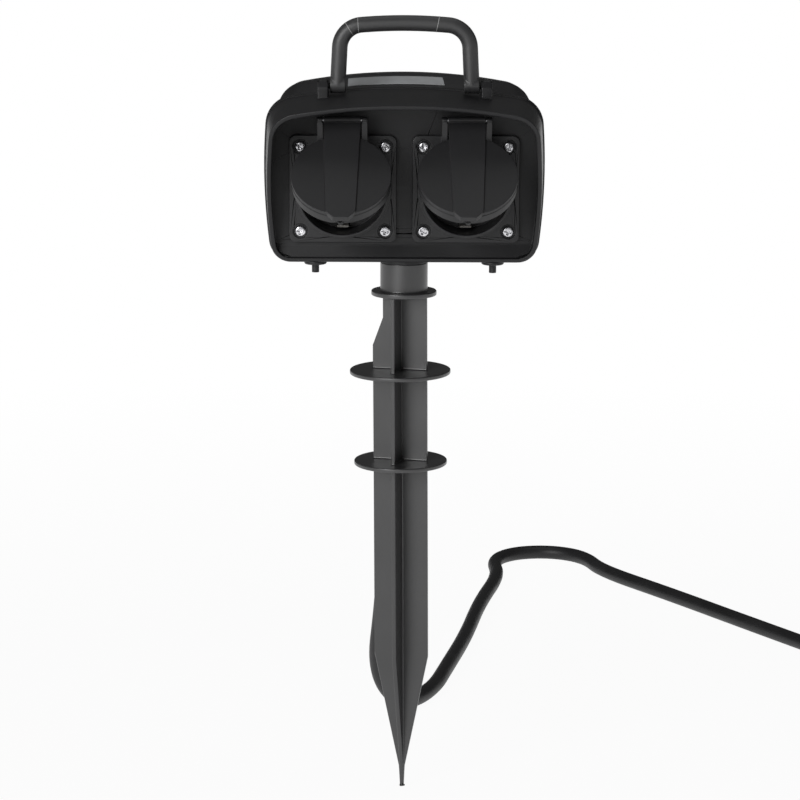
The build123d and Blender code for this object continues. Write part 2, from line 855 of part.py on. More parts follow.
# Carry handle: a bent bar with a flat end and a pivot stub at each foot
def make_carry_handle():
    bar_top = pivot_z + handle_rise
    leg_top = bar_top - handle_crown
    half_bar = handle_spread - handle_lean
    crown_bend = handle_crown_share * half_bar**2 / handle_crown
    path = FilletPolyline(
        (-handle_spread, -pivot_depth, pivot_z),
        (-half_bar, -pivot_depth, leg_top),
        (0, -pivot_depth, bar_top),
        (half_bar, -pivot_depth, leg_top),
        (handle_spread, -pivot_depth, pivot_z),
        radius=[handle_bend, crown_bend, handle_bend],
    )
    section = Plane(origin=path @ 0, z_dir=path % 0) * Circle(handle_bar_radius)
    handle = sweep(section, path=path)
    for side in sides.values():
        outer = handle_spread + handle_bar_radius
        inner = handle_spread - handle_bar_radius
        ends = sorted((side * inner, side * outer))
        handle += side_bar(handle_bar_radius, *ends, -pivot_depth, pivot_z)
        stub_end = outer + lug_gap + lug_thickness - pivot_blind_wall - pivot_end_gap
        stub = sorted((side * inner, side * stub_end))
        handle += side_bar(pivot_radius, *stub, -pivot_depth, pivot_z)
    return handle


# Drain spout: a flanged pipe that lets condensate out of the head
def make_drain_spout(side):
    x = side * drain_x
    disc_low = head_floor - drain_disc_drop
    spout = upright(x, -drain_depth, drain_disc_radius, disc_low, head_floor)
    spout = fillet(spout.edges().sort_by(Axis.Z)[0], drain_disc_round)
    low = head_floor - drain_pipe_drop
    high = head_floor + shell_wall + drain_inside_rise
    spout += upright(x, -drain_depth, drain_pipe_radius, low, high)
    return spout - upright(x, -drain_depth, drain_bore, low, high)


# Cable gland: threaded body through the floor, with a six-sided nut below
def make_cable_gland():
    inside_top = head_floor + 2 * shell_wall + gland_inside
    gland = upright(0, gland_depth, gland_radius, head_floor, inside_top)
    nut = Pos(0, gland_depth, head_floor - gland_nut_height) * extrude(
        RegularPolygon(gland_nut_radius, 6), amount=gland_nut_height
    )
    gland += nut
    return gland - upright(0, gland_depth, cord_radius, head_floor - gland_nut_height, inside_top)


# Strain relief: a tapered rubber sleeve below the gland
def make_strain_relief():
    relief = Pos(0, gland_depth, relief_bottom) * Cone(
        relief_foot_radius,
        relief_top_radius,
        relief_length,
        align=(Align.CENTER, Align.CENTER, Align.MIN),
    )
    return relief - upright(0, gland_depth, cord_radius, relief_bottom, relief_top)


# Inner end of the cord, from the foot of the strain relief to above the clamp
def make_cord_inner_end():
    return upright(0, gland_depth, cord_radius, relief_bottom, cord_inside_top)


# Cord clamp: a saddle that presses the cord's end against two posts
def make_cord_clamp():
    half = clamp_width / 2
    half_height = clamp_height / 2
    clamp = block(
        -half, half, clamp_back - clamp_thickness, clamp_back, clamp_z - half_height, clamp_z + half_height
    )
    clamp -= upright(0, gland_depth, cord_radius, clamp_z - clamp_height, clamp_z + clamp_height)
    for x in (-clamp_post_x, clamp_post_x):
        clamp -= front_disc(x, clamp_z, screw_radius, clamp_back - clamp_thickness, clamp_back)
    return clamp


# Clamp screws
def make_clamp_screws():
    screws = []
    seat = clamp_back - clamp_thickness
    for x in (-clamp_post_x, clamp_post_x):
        screw = front_disc(x, clamp_z, screw_head_radius, seat - screw_head_height, seat)
        screw += front_disc(x, clamp_z, screw_radius, seat, clamp_back + screw_length)
        screws.append(screw)
    return Compound(screws)


def wire_run(points):
    """An insulated wire with small bends along the given points."""
    path = FilletPolyline(*points, radius=wire_bend)
    section = Plane(origin=path @ 0, z_dir=path % 0) * Circle(wire_radius)
    return sweep(section, path=path)


# Wires: live and neutral to the pin contacts, earth to the straps, from the cord's inner end
def make_wires(name):
    contact_back = insert_back + insert_block_depth + terminal_gap + terminal_length
    strap_back = insert_back + insert_block_depth + earth_strap_thickness
    start_offset, level_rise, pin, end_y, lane = {
        "live": (-wire_spacing, live_level, -1, contact_back, contact_back + wire_lane),
        "neutral": (0.0, neutral_level, 1, contact_back, contact_back + wire_lane),
        "earth": (wire_spacing, earth_level, 0, strap_back, contact_back + earth_lane),
    }[name]
    wires = []
    for side in sides.values():
        start_x = side * wire_start_x
        start_y = gland_depth + start_offset
        level = socket_z + level_rise
        end_x = side * socket_spread + pin * pin_pitch / 2
        wires.append(
            wire_run(
                [
                    (start_x, start_y, cord_inside_top),
                    (start_x, start_y, level),
                    (end_x, lane, level),
                    (end_x, lane, socket_z),
                    (end_x, end_y, socket_z),
                ]
            )
        )
    return Compound(wires)


# Route of the free cord, from the foot of the strain relief to the start of the coil:
# down behind the spike, round on the ground, up to a hairpin and away to the right
coil_start = Vector(234.5, 206.0, cord_radius)
cord_route = [
    (0, gland_depth, relief_bottom),
    (0, gland_depth, 192),
    (-2.5, 41, 142),
    (-8, 62, 96),
    (-10.5, 77.3, 62),
    (-13.4, 91.3, 34),
    (-8.4, 101.5, 15.4),
    (2.1, 115, cord_radius),
    (16.3, 141, cord_radius),
    (24.2, 182, cord_radius),
    (35.2, 239, cord_radius),
    (44.6, 308, cord_radius),
    (57.8, 369, cord_radius),
    (54.8, 404, cord_radius),
    (69.2, 423, cord_radius),
    (92.7, 426.3, cord_radius),
    (112.2, 412.6, cord_radius),
    (119.7, 381, cord_radius),
    (155.3, 329.4, cord_radius),
    (195.6, 266, cord_radius),
]


def route_radii(points):
    """The largest arc at each corner: 0.45 of its shorter run over the tangent of half the turn."""
    radii = []
    for before, here, after in zip(points, points[1:], points[2:]):
        run_in = Vector(*here) - Vector(*before)
        run_out = Vector(*after) - Vector(*here)
        half_turn = math.radians(run_in.get_angle(run_out)) / 2
        radii.append(0.45 * min(run_in.length, run_out.length) / math.tan(half_turn))
    return radii


def coil_heading():
    """The heading at which the cord comes to the coil."""
    return (coil_start - Vector(*cord_route[-1])).normalized()


def tube_along(path):
    """A round tube of the cord's thickness along a path."""
    section = Plane(origin=path @ 0, z_dir=path % 0) * Circle(cord_radius)
    return sweep(section, path=path)


# Free stretch of the mains cord
def make_mains_cord():
    heading = coil_heading()
    points = cord_route + [tuple(coil_start - heading * cord_diameter)]
    radii = route_radii(points)
    path = FilletPolyline(*points, radius=radii)
    cord = tube_along(path)
    section_area = math.pi * cord_radius**2
    print("cord radii", [round(r, 1) for r in radii])
    ratio = cord.volume / (section_area * path.length)
    print("cord tube", round(path.length, 1), "volume over section by length", round(ratio, 4))
    return cord, path.length


# Coil of the rest of the cord: one layer in, a climb, one layer out, and the lead to the plug
def make_cord_coil(free_run):
    heading = coil_heading()
    across = Vector(-heading.Y, heading.X, 0)
    wound = cord_length - free_run - lead_length - 2 * cord_diameter
    coil_radius = (wound / math.pi + 2 * coil_step) / 5
    centre = coil_start + across * coil_radius
    inner = coil_radius - coil_step
    ends = [-coil_radius, coil_radius, -inner, inner, -coil_radius, coil_radius]
    climb = 2
    edges = [Line(coil_start - heading * cord_diameter, coil_start)]
    lift = Vector(0, 0, 0)
    way = heading
    for turn, (a, b) in enumerate(zip(ends, ends[1:])):
        start = centre + across * a + lift
        radius = abs(b - a) / 2
        if turn == climb:
            lift = Vector(0, 0, coil_layer_rise)
        end = centre + across * b + lift
        if turn == climb:
            reach = (end - start).length / 2
            middle = ((start + way * reach) + (end + way * reach)) * 0.5
            edges.append(TangentArc(start, middle, tangent=way))
            edges.append(TangentArc(middle, end, tangent=edges[-1] % 1))
        else:
            edges.append(ThreePointArc(start, (start + end) * 0.5 + way * radius, end))
        way = way * -1
    lead_end = end + way * lead_length + Vector(0, 0, plug_radius - end.Z)
    middle = (end + lead_end) * 0.5
    edges.append(TangentArc(end, middle, tangent=way))
    edges.append(TangentArc(middle, lead_end, tangent=edges[-1] % 1))
    tail = lead_end + way * cord_diameter
    edges.append(Line(lead_end, tail))
    path = Wire(edges)
    coil = tube_along(path)
    ratio = coil.volume / (math.pi * cord_radius**2 * path.length)
    print("coil", round(path.length, 1), "volume over section by length", round(ratio, 4))
    print("coil radius", round(coil_radius, 1), "least gap", round(least_gap(path), 2))
    return coil, path.length, tail, way


def least_gap(path):
    """The smallest gap between turns, measured between points along the path."""
    count = 260
    step = path.length / count
    points = [path.position_at(i / count) for i in range(count + 1)]
    skip = int(6 * cord_diameter / step)
    least = 1000.0
    for i, a in enumerate(points):
        for b in points[i + skip :]:
            least = min(least, (a - b).length)
    return least - cord_diameter


# Plug on the cord's end, lying on its side: drawn along +X from where the cord goes in
def plug_pieces():
    relief = Rot(0, 90, 0) * Cone(
        relief_foot_radius,
        plug_tail_radius - plug_relief_step,
        plug_relief_length,
        align=(Align.CENTER, Align.CENTER, Align.MIN),
    )
    body_start = plug_relief_length
    disc_start = body_start + plug_taper_length
    face = disc_start + plug_disc_length
    rings = [
        (body_start, plug_tail_radius),
        (body_start + plug_grip_length, (plug_tail_radius + plug_radius) / 2),
        (disc_start, plug_radius),
    ]
    grip = loft([Plane(origin=(x, 0, 0), z_dir=(1, 0, 0)) * Circle(radius) for x, radius in rings])
    body = grip + side_bar(plug_radius, disc_start, face, 0, 0)
    strips = []
    pins = []
    for direction in sides.values():
        outer = plug_radius + plug_strip_proud
        ends = sorted((direction * (outer - plug_strip_thickness), direction * outer))
        groove = sorted((direction * (outer - plug_strip_thickness), direction * (outer + 2)))
        half = plug_strip_width / 2
        start = disc_start + plug_strip_start
        body -= block(start, face, groove[0], groove[1], -half, half)
        strips.append(block(start, face, ends[0], ends[1], -half, half))
        pin_z = direction * pin_pitch / 2
        root = side_bar(plug_pin_root_radius, face - plug_pin_root, face, 0, pin_z)
        body -= root
        pin = side_bar(plug_pin_radius, face, face + plug_pin_length, 0, pin_z)
        pins.append(fillet(pin.edges().sort_by(Axis.X)[-1], plug_pin_round) + root)
    return {
        "plug_relief": relief,
        "plug_body": body,
        "plug_pins": Compound(pins),
        "plug_earth_strips": Compound(strips),
    }


def add(name, shape):
    """Keeps a piece under its node name."""
    shape.label = name
    parts[name] = shape


add("ground_spike", make_ground_spike())
add("spike_sleeve", make_spike_sleeve())
add("front_shell", make_front_shell())
add("rear_shell", make_rear_shell())
add("housing_gasket", make_housing_gasket())
add("shell_screws", make_shell_screws())
add("rating_label", make_rating_label())
for name, side in sides.items():
    add(f"socket_flange_{name}", make_socket_flange(side))
    add(f"flange_gasket_{name}", make_flange_gasket(side))
    add(f"flange_screws_{name}", make_flange_screws(side))
    add(f"socket_insert_{name}", make_socket_insert(side))
    add(f"earth_clips_{name}", make_earth_clips(side))
    add(f"pin_contacts_{name}", make_pin_contacts(side))
    add(f"socket_lid_{name}", make_socket_lid(side))
    add(f"lid_seal_{name}", make_lid_seal(side))
    add(f"hinge_pin_{name}", make_hinge_pin(side))
    add(f"lid_spring_{name}", make_lid_spring(side))
    add(f"drain_spout_{name}", make_drain_spout(side))
add("carry_handle", make_carry_handle())
add("cable_gland", make_cable_gland())
add("strain_relief", make_strain_relief())
add("cord_inner_end", make_cord_inner_end())
add("cord_clamp", make_cord_clamp())
add("clamp_screws", make_clamp_screws())
for wire in ("live", "neutral", "earth"):
    add(f"{wire}_wires", make_wires(wire))

cord, cord_run = make_mains_cord()
coil, coil_run, plug_entry, plug_way = make_cord_coil(cord_run)
print("whole cord", round(cord_run + coil_run, 1), "of", cord_length)
add("mains_cord", cord)
add("cord_coil", coil)
plug_place = Plane(origin=plug_entry, x_dir=plug_way, z_dir=(0, 0, 1))
for name, piece in plug_pieces().items():
    add(name, plug_place.location * piece)

for name, shape in parts.items():
    export_step(shape, f"parts/{name}.step")
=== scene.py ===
import bmesh
import bpy
import math
from mathutils import Matrix, Vector
from mathutils.bvhtree import BVHTree


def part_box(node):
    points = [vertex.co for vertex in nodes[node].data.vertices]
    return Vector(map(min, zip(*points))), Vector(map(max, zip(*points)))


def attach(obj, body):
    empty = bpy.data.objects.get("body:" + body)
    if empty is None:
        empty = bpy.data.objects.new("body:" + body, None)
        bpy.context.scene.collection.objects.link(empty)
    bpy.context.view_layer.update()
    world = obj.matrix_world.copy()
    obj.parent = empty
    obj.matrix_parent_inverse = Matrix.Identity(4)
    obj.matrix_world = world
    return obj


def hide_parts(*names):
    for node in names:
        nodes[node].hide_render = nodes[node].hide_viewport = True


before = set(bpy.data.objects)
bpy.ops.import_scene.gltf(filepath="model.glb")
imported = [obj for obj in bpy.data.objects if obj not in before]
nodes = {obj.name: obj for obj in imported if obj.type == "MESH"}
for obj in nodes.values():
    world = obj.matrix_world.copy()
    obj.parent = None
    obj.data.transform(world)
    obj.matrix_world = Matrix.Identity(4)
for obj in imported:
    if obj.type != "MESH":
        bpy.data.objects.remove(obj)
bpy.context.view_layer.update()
scene = bpy.context.scene
scene.view_settings.view_transform = "Standard"

# Camera: a long lens in front of the sockets, a little above the handle and looking down.
# It is almost square on to the head, with a slight roll.
camera_place = (-0.0016, -1.3035, 0.4509)
look_down = math.radians(11.5)
roll = math.radians(0.22)
camera_data = bpy.data.cameras.new("camera")
camera_data.lens = 130.3
camera_data.sensor_width = 36
camera = bpy.data.objects.new("camera", camera_data)
camera.matrix_world = (
    Matrix.Translation(camera_place)
    @ Matrix.Rotation(math.pi / 2 - look_down, 4, "X")
    @ Matrix.Rotation(roll, 4, "Z")
)
scene.collection.objects.link(camera)
scene.camera = camera

# Mains cord: black rubber-sheathed lead, 8.1 mm thick and 1.5 m long, extruded in one piece.
# It hangs from the gland behind the spike, lies on the ground and ends in a neat coil and a plug.
cord_diameter = 0.0081
cord_radius = cord_diameter / 2
route = [
    (0.0, 0.0305, 0.2251),
    (0.0, 0.0305, 0.192),
    (-0.0025, 0.041, 0.142),
    (-0.008, 0.062, 0.096),
    (-0.0105, 0.0773, 0.062),
    (-0.0134, 0.0913, 0.034),
    (-0.0084, 0.1015, 0.0154),
    (0.0021, 0.115, cord_radius),
    (0.0163, 0.141, cord_radius),
    (0.0242, 0.182, cord_radius),
    (0.0352, 0.239, cord_radius),
    (0.0446, 0.308, cord_radius),
    (0.0578, 0.369, cord_radius),
    (0.0548, 0.404, cord_radius),
    (0.0692, 0.423, cord_radius),
    (0.0927, 0.4263, cord_radius),
    (0.1122, 0.4126, cord_radius),
    (0.1197, 0.381, cord_radius),
    (0.1553, 0.3294, cord_radius),
    (0.1956, 0.266, cord_radius),
]
coil_start = Vector((0.2345, 0.206, cord_radius))
coil_radius = 0.04215
coil_step = 0.0089
layer_rise = 0.0087
lead_length = 0.036
plug_axis_height = 0.0185
heading = (coil_start - Vector(route[-1])).normalized()
across = Vector((-heading.y, heading.x, 0))
coil_centre = coil_start + across * coil_radius
inner_radius = coil_radius - coil_step
turn_ends = [-coil_radius, coil_radius, -inner_radius, inner_radius, -coil_radius, coil_radius]
points_per_half_turn = 12
line = [Vector(point) for point in route]
line.append(coil_start - heading * cord_diameter)
way = heading
height = cord_radius
for half_turn, (start, end) in enumerate(zip(turn_ends, turn_ends[1:])):
    middle = (start + end) / 2
    reach = abs(end - start) / 2 / math.cos(math.pi / (2 * points_per_half_turn))
    swing = math.copysign(1, start - end)
    for step in range(points_per_half_turn):
        angle = math.pi * (step + 0.5) / points_per_half_turn
        rise = layer_rise * (1 - math.cos(angle)) / 2 if half_turn == 2 else 0
        spot = (
            coil_centre
            + across * (middle + swing * reach * math.cos(angle))
            + way * reach * math.sin(angle)
        )
        line.append(Vector((spot.x, spot.y, height + rise)))
    if half_turn == 2:
        height += layer_rise
    way = -way
lead_start = coil_centre + across * coil_radius
lead_start.z = height
for share in (0.12, 0.35, 0.65, 0.88):
    spot = lead_start + way * lead_length * share
    spot.z = height + (plug_axis_height - height) * (1 - math.cos(math.pi * share)) / 2
    line.append(spot)
for beyond in (lead_length, lead_length + cord_diameter):
    spot = lead_start + way * beyond
    spot.z = plug_axis_height
    line.append(spot)

cord_curve = bpy.data.curves.new("mains_lead", "CURVE")
cord_curve.dimensions = "3D"
cord_curve.bevel_depth = cord_radius
cord_curve.bevel_resolution = 7
cord_curve.resolution_u = 8
cord_curve.use_fill_caps = True
cord_spline = cord_curve.splines.new("NURBS")
cord_spline.points.add(len(line) - 1)
for control, spot in zip(cord_spline.points, line):
    control.co = (*spot, 1)
cord_spline.order_u = 3
cord_spline.use_endpoint_u = True
mains_lead = bpy.data.objects.new("mains_lead", cord_curve)
scene.collection.objects.link(mains_lead)


def link(tree, source, out, target, into):
    """Joins one node's output to another node's input."""
    tree.links.new(source.outputs[out], target.inputs[into])


def shader_with_coordinates(name):
    """A new material with its shader and its Object coordinates."""
    material = bpy.data.materials.new(name)
    material.use_nodes = True
    tree = material.node_tree
    place = tree.nodes.new("ShaderNodeTexCoord")
    return material, tree, tree.nodes["Principled BSDF"], place


def noise(tree, place, scale, detail=3.0, stretch=(1, 1, 1)):
    """A noise pattern on Object coordinates, with its scale in features per metre."""
    mapping = tree.nodes.new("ShaderNodeMapping")
    mapping.inputs["Scale"].default_value = stretch
    link(tree, place, "Object", mapping, "Vector")
    pattern = tree.nodes.new("ShaderNodeTexNoise")
    pattern.inputs["Scale"].default_value = scale
    pattern.inputs["Detail"].default_value = detail
    link(tree, mapping, "Vector", pattern, "Vector")
    return pattern


def ranged(tree, source, out, low, high, from_low=0.3, from_high=0.7):
    """The source's values spread over a new range."""
    spread = tree.nodes.new("ShaderNodeMapRange")
    spread.inputs["From Min"].default_value = from_low
    spread.inputs["From Max"].default_value = from_high
    spread.inputs["To Min"].default_value = low
    spread.inputs["To Max"].default_value = high
    link(tree, source, out, spread, "Value")
    return spread


def mixed(tree, factor, first, second):
    """A colour between two, where first may be a colour or another node's colour."""
    mix = tree.nodes.new("ShaderNodeMix")
    mix.data_type = "RGBA"
    tree.links.new(factor, mix.inputs["Factor"])
    colours = [socket for socket in mix.inputs if socket.type == "RGBA"]
    for socket, colour in zip(colours, (first, second)):
        if isinstance(colour, tuple):
            socket.default_value = (*colour, 1)
        else:
            tree.links.new(colour, socket)
    return [socket for socket in mix.outputs if socket.type == "RGBA"][0]


def bump(tree, shader, layers):
    """Chained bumps, each a pattern, its output and its height in metres."""
    before = None
    for pattern, out, depth in layers:
        relief = tree.nodes.new("ShaderNodeBump")
        relief.inputs["Distance"].default_value = depth
        link(tree, pattern, out, relief, "Height")
        if before:
            link(tree, before, "Normal", relief, "Normal")
        before = relief
    link(tree, before, "Normal", shader, "Normal")


def rubber(name, colour, dusty, grain):
    """Soft matt rubber with a bloom that comes and goes, and a fine skin."""
    material, tree, shader, place = shader_with_coordinates(name)
    cloud = noise(tree, place, 38, 4)
    bloom = ranged(tree, cloud, "Fac", 0, 1)
    tree.links.new(mixed(tree, bloom.outputs["Result"], colour, dusty), shader.inputs["Base Color"])
    skin = noise(tree, place, grain, 2)
    link(tree, ranged(tree, cloud, "Fac", 0.42, 0.56), "Result", shader, "Roughness")
    bump(tree, shader, [(skin, "Fac", 0.00003), (cloud, "Fac", 0.00012)])
    shader.inputs["Specular IOR Level"].default_value = 0.42
    return material


cord_rubber = rubber("cord_rubber", (0.012, 0.012, 0.013), (0.022, 0.022, 0.023), 2600)
cord_curve.materials.append(cord_rubber)

# Ground: a plain pale floor that takes the object's soft shadow and fades to white further off.
# The white surround is a little brighter in front. A large soft lamp stands at the front left, and
# weaker ones low in front, at the right and overhead.
floor_radius = 14
floor_drop = 0.0003
lamp_aim = Vector((0, 0, 0.22))
floor_mesh = bpy.data.meshes.new("floor")
ground = bmesh.new()
bmesh.ops.create_circle(ground, cap_ends=True, segments=96, radius=floor_radius)
bmesh.ops.translate(ground, verts=ground.verts, vec=(0, 0, -floor_drop))
ground.to_mesh(floor_mesh)
ground.free()
floor = bpy.data.objects.new("floor", floor_mesh)
scene.collection.objects.link(floor)
floor_paint, tree, paint, place = shader_with_coordinates("floor_paint")
paint.inputs["Base Color"].default_value = (0.82, 0.82, 0.82, 1)
paint.inputs["Roughness"].default_value = 0.9
paint.inputs["Specular IOR Level"].default_value = 0.0


def seen_by(tree, *rays):
    """1 for the kinds of ray named, 0 for the rest."""
    path = tree.nodes.new("ShaderNodeLightPath")
    source = path
    out = rays[0]
    for ray in rays[1:]:
        either = tree.nodes.new("ShaderNodeMath")
        either.operation = "MAXIMUM"
        link(tree, source, out, either, 0)
        link(tree, path, ray, either, 1)
        source, out = either, 0
    return source


away = tree.nodes.new("ShaderNodeVectorMath")
away.operation = "LENGTH"
link(tree, place, "Object", away, 0)
whiteness = ranged(tree, away, "Value", 0.95, 1.0, 0.3, 1.0)
share = tree.nodes.new("ShaderNodeMath")
share.operation = "MULTIPLY"
link(tree, seen_by(tree, "Is Camera Ray", "Is Transmission Ray", "Is Glossy Ray"), 0, share, 0)
link(tree, whiteness, "Result", share, 1)
glow = tree.nodes.new("ShaderNodeEmission")
blend = tree.nodes.new("ShaderNodeMixShader")
link(tree, share, 0, blend, "Fac")
link(tree, paint, "BSDF", blend, 1)
link(tree, glow, "Emission", blend, 2)
link(tree, blend, "Shader", tree.nodes["Material Output"], "Surface")
floor_mesh.materials.append(floor_paint)

surround = bpy.data.worlds.new("surround")
surround.use_nodes = True
scene.world = surround
tree = surround.node_tree
open_side = tree.nodes.new("ShaderNodeTexCoord")
facing = tree.nodes.new("ShaderNodeVectorMath")
facing.operation = "DOT_PRODUCT"
facing.inputs[1].default_value = (-0.3, -0.95, 0.1)
link(tree, open_side, "Generated", facing, 0)
light_air = tree.nodes["Background"]
light_air.inputs["Color"].default_value = (1, 1, 1, 1)
link(tree, ranged(tree, facing, "Value", 0.08, 0.13, -0.4, 1.0), "Result", light_air, "Strength")
white_air = tree.nodes.new("ShaderNodeBackground")
white_air.inputs["Color"].default_value = (1, 1, 1, 1)
white_air.inputs["Strength"].default_value = 1.0
blend = tree.nodes.new("ShaderNodeMixShader")
link(tree, seen_by(tree, "Is Camera Ray", "Is Transmission Ray"), 0, blend, "Fac")
link(tree, light_air, "Background", blend, 1)
link(tree, white_air, "Background", blend, 2)
link(tree, blend, "Shader", tree.nodes["World Output"], "Surface")

lamps = {
    "key_lamp": ((-1.05, -1.6, 0.9), 1.1, 28.0),
    "low_lamp": ((-0.45, -1.9, 0.28), 0.7, 0.4),
    "side_lamp": ((1.7, -0.5, 0.75), 0.9, 1.2),
    "top_lamp": ((0.1, 0.3, 2.0), 1.3, 4.0),
}
for name, (spot, size, power) in lamps.items():
    lamp_data = bpy.data.lights.new(name, "AREA")
    lamp_data.size = size
    lamp_data.energy = power
    lamp = bpy.data.objects.new(name, lamp_data)
    aim = lamp_aim - Vector(spot)
    lamp.matrix_world = Matrix.Translation(spot) @ aim.to_track_quat("-Z", "Y").to_matrix().to_4x4()
    scene.collection.objects.link(lamp)

# Ground spike: one injection moulding in dark grey polypropylene, with four thin blades, two depth
# discs, a collar and the tube that the head turns on. Its edges have the small round of a mould.
spike_edge = 0.0005
mould_crease = math.radians(24)
weld_gap = 1e-6
stray_share = 0.75


def round_edges(mesh_object, edge, crease):
    """Joins a node's doubled corners and rounds its sharp edges, with its flat faces shaded flat."""
    body = bmesh.new()
    body.from_mesh(mesh_object.data)
    bmesh.ops.remove_doubles(body, verts=body.verts, dist=weld_gap)
    body.to_mesh(mesh_object.data)
    body.free()
    rounding = mesh_object.modifiers.new("rounding", "BEVEL")
    rounding.width = edge
    rounding.segments = 3
    rounding.limit_method = "ANGLE"
    rounding.angle_limit = crease
    rounding.use_clamp_overlap = False
    rounding.miter_outer = "MITER_ARC"
    flats = mesh_object.modifiers.new("flats", "WEIGHTED_NORMAL")
    flats.mode = "FACE_AREA"
    flats.weight = 100
    flats.keep_sharp = True


def plain_mesh(source, name):
    """The evaluated shape of an object as a new plain mesh object at the origin."""
    shape = source.evaluated_get(bpy.context.evaluated_depsgraph_get())
    mesh = bpy.data.meshes.new_from_object(shape)
    mesh.name = name
    piece = bpy.data.objects.new(name, mesh)
    scene.collection.objects.link(piece)
    bpy.data.objects.remove(source)
    return piece


def moulding(node, name, body, material, edge, crease=mould_crease):
    """A CAD piece with its edges rounded. Corners thrown past the round go back to its surface."""
    copy = bpy.data.objects.new(f"{name}_shape", nodes[node].data.copy())
    scene.collection.objects.link(copy)
    round_edges(copy, edge, crease)
    for face in copy.data.polygons:
        face.use_smooth = True
    sharp = BVHTree.FromObject(nodes[node], bpy.context.evaluated_depsgraph_get())
    piece = plain_mesh(copy, name)
    for corner in piece.data.vertices:
        nearest, _, _, gap = sharp.find_nearest(corner.co)
        if gap > edge * stray_share:
            corner.co = nearest
    piece.data.materials.clear()
    piece.data.materials.append(material)
    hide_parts(node)
    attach(piece, body)
    return piece


def plastic(name, colour, pale, smooth, rough, grain, wear, sheen=0.5):
    """Moulded plastic: uneven tone, a spark-eroded grain, paler on its rubbed edges."""
    material, tree, shader, place = shader_with_coordinates(name)
    cloud = noise(tree, place, 24, 5)
    skin = noise(tree, place, grain, 2)
    tone = ranged(tree, cloud, "Fac", 0, 1)
    body_colour = mixed(tree, tone.outputs["Result"], colour, pale)
    shape = tree.nodes.new("ShaderNodeNewGeometry")
    edge = ranged(tree, shape, "Pointiness", 0, wear, 0.52, 0.62)
    worn = tuple(min(1, value * 2.6) for value in pale)
    tree.links.new(mixed(tree, edge.outputs["Result"], body_colour, worn), shader.inputs["Base Color"])
    link(tree, ranged(tree, cloud, "Fac", smooth, rough), "Result", shader, "Roughness")
    bump(tree, shader, [(skin, "Fac", 0.00002), (cloud, "Fac", 0.00015)])
    shader.inputs["Specular IOR Level"].default_value = sheen
    return material


spike_plastic = plastic(
    "spike_plastic", (0.020, 0.020, 0.021), (0.032, 0.032, 0.033), 0.28, 0.40, 1900, 0.5, 0.9
)
moulding("ground_spike", "spike_moulding", "spike", spike_plastic, spike_edge)

# Spike sleeve: the bored boss, turned into the head's floor, that the spike's spigot turns in.
# It is moulded in the head's own plastic.
sleeve_edge = 0.0003
head_plastic = plastic(
    "head_plastic", (0.008, 0.008, 0.009), (0.013, 0.013, 0.014), 0.38, 0.50, 2400, 0.5, 0.4
)
moulding("spike_sleeve", "sleeve_boss", "head", head_plastic, sleeve_edge)

# Front shell: moulded hood with a slanted rim, a recessed panel and a sloping sill below it.
# Two lugs for the handle stand on its roof.
hood_edge = 0.0006
moulding("front_shell", "hood_shell", "head", head_plastic, hood_edge)

# Rear shell: the closed back, screwed on from behind. Its crest and back edges are softly rounded.
back_edge = 0.0012
back_crease = math.radians(14)
moulding("rear_shell", "back_shell", "head", head_plastic, back_edge, back_crease)

# Rating label: a thin pale film plate on the back shell's front slope, left blank.
# Handling has left it a little soiled.
label_edge = 0.0001
label_film, tree, shader, place = shader_with_coordinates("label_film")
smudge = noise(tree, place, 90, 5)
soil = ranged(tree, smudge, "Fac", 0, 0.6, 0.45, 0.75)
tree.links.new(
    mixed(tree, soil.outputs["Result"], (0.34, 0.35, 0.36), (0.19, 0.19, 0.19)), shader.inputs["Base Color"]
)
link(tree, ranged(tree, smudge, "Fac", 0.38, 0.55), "Result", shader, "Roughness")
bump(tree, shader, [(smudge, "Fac", 0.00006)])
moulding("rating_label", "label_plate", "head", label_film, label_edge)

# Carry handle: a bent round bar with flat ends, on two stubs in the lugs.
# It is moulded, with a finer grain than the head.
handle_edge = 0.0005
handle_plastic = plastic(
    "handle_plastic", (0.024, 0.024, 0.025), (0.036, 0.036, 0.037), 0.42, 0.54, 3200, 0.4, 0.7
)
handle_bar = moulding("carry_handle", "handle_bar", "handle", handle_plastic, handle_edge)

# Moulding flash on the handle: three fine pale lines across the bar at its bends, left by the parts
# of the mould. Each is a strip of the bar's surface, lifted a little and left open.
flash_half = 0.00016
flash_rise = 0.00005
flash_plastic = plastic("flash_plastic", (0.22, 0.22, 0.22), (0.34, 0.34, 0.34), 0.45, 0.6, 3200, 0.3)
handle_low, handle_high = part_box("carry_handle")
bar_y = (handle_low.y + handle_high.y) / 2
flash_lines = (
    (Vector((-0.0243, bar_y, 0.3555)), Vector((0.844, 0, 0.537))),
    (Vector((-0.0208, bar_y, 0.3582)), Vector((0.997, 0, 0.07))),
    (Vector((0.0146, bar_y, 0.3586)), Vector((0.978, 0, -0.21))),
)
for number, (spot, way) in enumerate(flash_lines):
    strip = bmesh.new()
    strip.from_mesh(handle_bar.data)
    for past in (-1, 1):
        bmesh.ops.bisect_plane(
            strip,
            geom=strip.verts[:] + strip.edges[:] + strip.faces[:],
            plane_co=spot + way * flash_half * past,
            plane_no=way * past,
            clear_outer=True,
        )
    strip.normal_update()
    for corner in strip.verts:
        corner.co += corner.normal * flash_rise
    flash_mesh = bpy.data.meshes.new(f"handle_flash_{number}")
    strip.to_mesh(flash_mesh)
    strip.free()
    flash = bpy.data.objects.new(f"handle_flash_{number}", flash_mesh)
    scene.collection.objects.link(flash)
    flash_mesh.materials.clear()
    flash_mesh.materials.append(flash_plastic)
    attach(flash, "handle")

